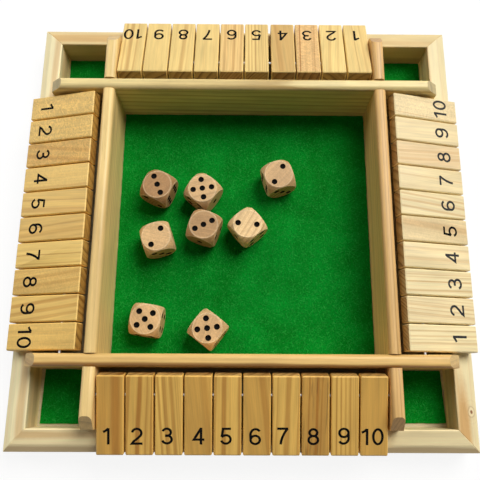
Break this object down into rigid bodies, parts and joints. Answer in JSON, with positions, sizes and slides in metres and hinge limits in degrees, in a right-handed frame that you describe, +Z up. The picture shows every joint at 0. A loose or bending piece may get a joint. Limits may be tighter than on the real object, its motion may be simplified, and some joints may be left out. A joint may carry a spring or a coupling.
{
  "type": "shut the box game",
  "caption": "Square wooden dice tray for four players, with a row of hinged number tiles along each side, crossing rails, green felt and loose wooden dice.",
  "frame": {"origin": "middle of the underside of the base panel, which lies on the table", "axes": "+Z up; the front row of tiles is at -Y, the right row at +X, the back row at +Y and the left row at -X"},
  "size_m": [0.3014, 0.3014, 0.045],
  "materials": {
    "frame_pine": "clear satin varnish on pale pine",
    "panel_wood": "bare plywood",
    "green_felt": "short woollen felt",
    "rail_pine": "clear satin varnish on yellow pine",
    "rail_pink": "clear satin varnish on pinkish beech",
    "rod_steel": "bright drawn wire",
    "front_tile_wood": "satin varnish on golden brown hardwood",
    "right_tile_wood": "satin varnish on pale pine",
    "back_tile_wood": "satin varnish on golden pine with dark grain lines",
    "left_tile_wood": "satin varnish on golden pine",
    "die_wood": "smooth sanded beech"
  },
  "bodies": {
    "tray": {"frame_front": "frame_pine", "frame_right": "frame_pine", "frame_back": "frame_pine", "frame_left": "frame_pine", "base_panel": "panel_wood", "felt_tray": "green_felt", "felt_wells": "green_felt", "rail_front": "rail_pine", "rail_right": "rail_pink", "rail_back": "rail_pine", "rail_left": "rail_pine", "hinge_rods": "rod_steel"},
    "front_tile_1": {"front_tile_1": "front_tile_wood"},
    "front_tile_2": {"front_tile_2": "front_tile_wood"},
    "front_tile_3": {"front_tile_3": "front_tile_wood"},
    "front_tile_4": {"front_tile_4": "front_tile_wood"},
    "front_tile_5": {"front_tile_5": "front_tile_wood"},
    "front_tile_6": {"front_tile_6": "front_tile_wood"},
    "front_tile_7": {"front_tile_7": "front_tile_wood"},
    "front_tile_8": {"front_tile_8": "front_tile_wood"},
    "front_tile_9": {"front_tile_9": "front_tile_wood"},
    "front_tile_10": {"front_tile_10": "front_tile_wood"},
    "right_tile_1": {"right_tile_1": "right_tile_wood"},
    "right_tile_2": {"right_tile_2": "right_tile_wood"},
    "right_tile_3": {"right_tile_3": "right_tile_wood"},
    "right_tile_4": {"right_tile_4": "right_tile_wood"},
    "right_tile_5": {"right_tile_5": "right_tile_wood"},
    "right_tile_6": {"right_tile_6": "right_tile_wood"},
    "right_tile_7": {"right_tile_7": "right_tile_wood"},
    "right_tile_8": {"right_tile_8": "right_tile_wood"},
    "right_tile_9": {"right_tile_9": "right_tile_wood"},
    "right_tile_10": {"right_tile_10": "right_tile_wood"},
    "back_tile_1": {"back_tile_1": "back_tile_wood"},
    "back_tile_2": {"back_tile_2": "back_tile_wood"},
    "back_tile_3": {"back_tile_3": "back_tile_wood"},
    "back_tile_4": {"back_tile_4": "back_tile_wood"},
    "back_tile_5": {"back_tile_5": "back_tile_wood"},
    "back_tile_6": {"back_tile_6": "back_tile_wood"},
    "back_tile_7": {"back_tile_7": "back_tile_wood"},
    "back_tile_8": {"back_tile_8": "back_tile_wood"},
    "back_tile_9": {"back_tile_9": "back_tile_wood"},
    "back_tile_10": {"back_tile_10": "back_tile_wood"},
    "left_tile_1": {"left_tile_1": "left_tile_wood"},
    "left_tile_2": {"left_tile_2": "left_tile_wood"},
    "left_tile_3": {"left_tile_3": "left_tile_wood"},
    "left_tile_4": {"left_tile_4": "left_tile_wood"},
    "left_tile_5": {"left_tile_5": "left_tile_wood"},
    "left_tile_6": {"left_tile_6": "left_tile_wood"},
    "left_tile_7": {"left_tile_7": "left_tile_wood"},
    "left_tile_8": {"left_tile_8": "left_tile_wood"},
    "left_tile_9": {"left_tile_9": "left_tile_wood"},
    "left_tile_10": {"left_tile_10": "left_tile_wood"},
    "die_1": {"die_1": "die_wood"},
    "die_2": {"die_2": "die_wood"},
    "die_3": {"die_3": "die_wood"},
    "die_4": {"die_4": "die_wood"},
    "die_5": {"die_5": "die_wood"},
    "die_6": {"die_6": "die_wood"},
    "die_7": {"die_7": "die_wood"},
    "die_8": {"die_8": "die_wood"}
  },
  "joints": [
    {"name": "front_tile_1_hinge", "type": "hinge", "parent": "tray", "child": "front_tile_1", "pos_m": [0, -0.11472, 0.03688], "axis": [-1, 0, 0], "range_deg": [0, 158.3]},
    {"name": "front_tile_2_hinge", "type": "hinge", "parent": "tray", "child": "front_tile_2", "pos_m": [0, -0.11472, 0.03688], "axis": [-1, 0, 0], "range_deg": [0, 158.3]},
    {"name": "front_tile_3_hinge", "type": "hinge", "parent": "tray", "child": "front_tile_3", "pos_m": [0, -0.11472, 0.03688], "axis": [-1, 0, 0], "range_deg": [0, 158.3]},
    {"name": "front_tile_4_hinge", "type": "hinge", "parent": "tray", "child": "front_tile_4", "pos_m": [0, -0.11472, 0.03688], "axis": [-1, 0, 0], "range_deg": [0, 158.3]},
    {"name": "front_tile_5_hinge", "type": "hinge", "parent": "tray", "child": "front_tile_5", "pos_m": [0, -0.11472, 0.03688], "axis": [-1, 0, 0], "range_deg": [0, 158.3]},
    {"name": "front_tile_6_hinge", "type": "hinge", "parent": "tray", "child": "front_tile_6", "pos_m": [0, -0.11472, 0.03688], "axis": [-1, 0, 0], "range_deg": [0, 158.3]},
    {"name": "front_tile_7_hinge", "type": "hinge", "parent": "tray", "child": "front_tile_7", "pos_m": [0, -0.11472, 0.03688], "axis": [-1, 0, 0], "range_deg": [0, 158.3]},
    {"name": "front_tile_8_hinge", "type": "hinge", "parent": "tray", "child": "front_tile_8", "pos_m": [0, -0.11472, 0.03688], "axis": [-1, 0, 0], "range_deg": [0, 158.3]},
    {"name": "front_tile_9_hinge", "type": "hinge", "parent": "tray", "child": "front_tile_9", "pos_m": [0, -0.11472, 0.03688], "axis": [-1, 0, 0], "range_deg": [0, 158.3]},
    {"name": "front_tile_10_hinge", "type": "hinge", "parent": "tray", "child": "front_tile_10", "pos_m": [0, -0.11472, 0.03688], "axis": [-1, 0, 0], "range_deg": [0, 158.3]},
    {"name": "right_tile_1_hinge", "type": "hinge", "parent": "tray", "child": "right_tile_1", "pos_m": [0.11472, 0, 0.03688], "axis": [0, -1, 0], "range_deg": [0, 144]},
    {"name": "right_tile_2_hinge", "type": "hinge", "parent": "tray", "child": "right_tile_2", "pos_m": [0.11472, 0, 0.03688], "axis": [0, -1, 0], "range_deg": [0, 158.3]},
    {"name": "right_tile_3_hinge", "type": "hinge", "parent": "tray", "child": "right_tile_3", "pos_m": [0.11472, 0, 0.03688], "axis": [0, -1, 0], "range_deg": [0, 158.3]},
    {"name": "right_tile_4_hinge", "type": "hinge", "parent": "tray", "child": "right_tile_4", "pos_m": [0.11472, 0, 0.03688], "axis": [0, -1, 0], "range_deg": [0, 158.3]},
    {"name": "right_tile_5_hinge", "type": "hinge", "parent": "tray", "child": "right_tile_5", "pos_m": [0.11472, 0, 0.03688], "axis": [0, -1, 0], "range_deg": [0, 158.3]},
    {"name": "right_tile_6_hinge", "type": "hinge", "parent": "tray", "child": "right_tile_6", "pos_m": [0.11472, 0, 0.03688], "axis": [0, -1, 0], "range_deg": [0, 158.3]},
    {"name": "right_tile_7_hinge", "type": "hinge", "parent": "tray", "child": "right_tile_7", "pos_m": [0.11472, 0, 0.03688], "axis": [0, -1, 0], "range_deg": [0, 158.3]},
    {"name": "right_tile_8_hinge", "type": "hinge", "parent": "tray", "child": "right_tile_8", "pos_m": [0.11472, 0, 0.03688], "axis": [0, -1, 0], "range_deg": [0, 158.3]},
    {"name": "right_tile_9_hinge", "type": "hinge", "parent": "tray", "child": "right_tile_9", "pos_m": [0.11472, 0, 0.03688], "axis": [0, -1, 0], "range_deg": [0, 158.3]},
    {"name": "right_tile_10_hinge", "type": "hinge", "parent": "tray", "child": "right_tile_10", "pos_m": [0.11472, 0, 0.03688], "axis": [0, -1, 0], "range_deg": [0, 144]},
    {"name": "back_tile_1_hinge", "type": "hinge", "parent": "tray", "child": "back_tile_1", "pos_m": [0, 0.11472, 0.03688], "axis": [1, 0, 0], "range_deg": [0, 158.3]},
    {"name": "back_tile_2_hinge", "type": "hinge", "parent": "tray", "child": "back_tile_2", "pos_m": [0, 0.11472, 0.03688], "axis": [1, 0, 0], "range_deg": [0, 158.3]},
    {"name": "back_tile_3_hinge", "type": "hinge", "parent": "tray", "child": "back_tile_3", "pos_m": [0, 0.11472, 0.03688], "axis": [1, 0, 0], "range_deg": [0, 158.3]},
    {"name": "back_tile_4_hinge", "type": "hinge", "parent": "tray", "child": "back_tile_4", "pos_m": [0, 0.11472, 0.03688], "axis": [1, 0, 0], "range_deg": [0, 158.3]},
    {"name": "back_tile_5_hinge", "type": "hinge", "parent": "tray", "child": "back_tile_5", "pos_m": [0, 0.11472, 0.03688], "axis": [1, 0, 0], "range_deg": [0, 158.3]},
    {"name": "back_tile_6_hinge", "type": "hinge", "parent": "tray", "child": "back_tile_6", "pos_m": [0, 0.11472, 0.03688], "axis": [1, 0, 0], "range_deg": [0, 158.3]},
    {"name": "back_tile_7_hinge", "type": "hinge", "parent": "tray", "child": "back_tile_7", "pos_m": [0, 0.11472, 0.03688], "axis": [1, 0, 0], "range_deg": [0, 158.3]},
    {"name": "back_tile_8_hinge", "type": "hinge", "parent": "tray", "child": "back_tile_8", "pos_m": [0, 0.11472, 0.03688], "axis": [1, 0, 0], "range_deg": [0, 158.3]},
    {"name": "back_tile_9_hinge", "type": "hinge", "parent": "tray", "child": "back_tile_9", "pos_m": [0, 0.11472, 0.03688], "axis": [1, 0, 0], "range_deg": [0, 158.3]},
    {"name": "back_tile_10_hinge", "type": "hinge", "parent": "tray", "child": "back_tile_10", "pos_m": [0, 0.11472, 0.03688], "axis": [1, 0, 0], "range_deg": [0, 158.3]},
    {"name": "left_tile_1_hinge", "type": "hinge", "parent": "tray", "child": "left_tile_1", "pos_m": [-0.11472, 0, 0.03688], "axis": [0, 1, 0], "range_deg": [0, 144]},
    {"name": "left_tile_2_hinge", "type": "hinge", "parent": "tray", "child": "left_tile_2", "pos_m": [-0.11472, 0, 0.03688], "axis": [0, 1, 0], "range_deg": [0, 158.3]},
    {"name": "left_tile_3_hinge", "type": "hinge", "parent": "tray", "child": "left_tile_3", "pos_m": [-0.11472, 0, 0.03688], "axis": [0, 1, 0], "range_deg": [0, 158.3]},
    {"name": "left_tile_4_hinge", "type": "hinge", "parent": "tray", "child": "left_tile_4", "pos_m": [-0.11472, 0, 0.03688], "axis": [0, 1, 0], "range_deg": [0, 158.3]},
    {"name": "left_tile_5_hinge", "type": "hinge", "parent": "tray", "child": "left_tile_5", "pos_m": [-0.11472, 0, 0.03688], "axis": [0, 1, 0], "range_deg": [0, 158.3]},
    {"name": "left_tile_6_hinge", "type": "hinge", "parent": "tray", "child": "left_tile_6", "pos_m": [-0.11472, 0, 0.03688], "axis": [0, 1, 0], "range_deg": [0, 158.3]},
    {"name": "left_tile_7_hinge", "type": "hinge", "parent": "tray", "child": "left_tile_7", "pos_m": [-0.11472, 0, 0.03688], "axis": [0, 1, 0], "range_deg": [0, 158.3]},
    {"name": "left_tile_8_hinge", "type": "hinge", "parent": "tray", "child": "left_tile_8", "pos_m": [-0.11472, 0, 0.03688], "axis": [0, 1, 0], "range_deg": [0, 158.3]},
    {"name": "left_tile_9_hinge", "type": "hinge", "parent": "tray", "child": "left_tile_9", "pos_m": [-0.11472, 0, 0.03688], "axis": [0, 1, 0], "range_deg": [0, 158.3]},
    {"name": "left_tile_10_hinge", "type": "hinge", "parent": "tray", "child": "left_tile_10", "pos_m": [-0.11472, 0, 0.03688], "axis": [0, 1, 0], "range_deg": [0, 144]},
    {"name": "die_1_lift", "type": "slide", "parent": "tray", "child": "die_1", "axis": [0, 0, 1], "range_m": [0, 0.07]},
    {"name": "die_2_lift", "type": "slide", "parent": "tray", "child": "die_2", "axis": [0, 0, 1], "range_m": [0, 0.07]},
    {"name": "die_3_lift", "type": "slide", "parent": "tray", "child": "die_3", "axis": [0, 0, 1], "range_m": [0, 0.07]},
    {"name": "die_4_lift", "type": "slide", "parent": "tray", "child": "die_4", "axis": [0, 0, 1], "range_m": [0, 0.07]},
    {"name": "die_5_lift", "type": "slide", "parent": "tray", "child": "die_5", "axis": [0, 0, 1], "range_m": [0, 0.07]},
    {"name": "die_6_lift", "type": "slide", "parent": "tray", "child": "die_6", "axis": [0, 0, 1], "range_m": [0, 0.07]},
    {"name": "die_7_lift", "type": "slide", "parent": "tray", "child": "die_7", "axis": [0, 0, 1], "range_m": [0, 0.07]},
    {"name": "die_8_lift", "type": "slide", "parent": "tray", "child": "die_8", "axis": [0, 0, 1], "range_m": [0, 0.07]}
  ]
}
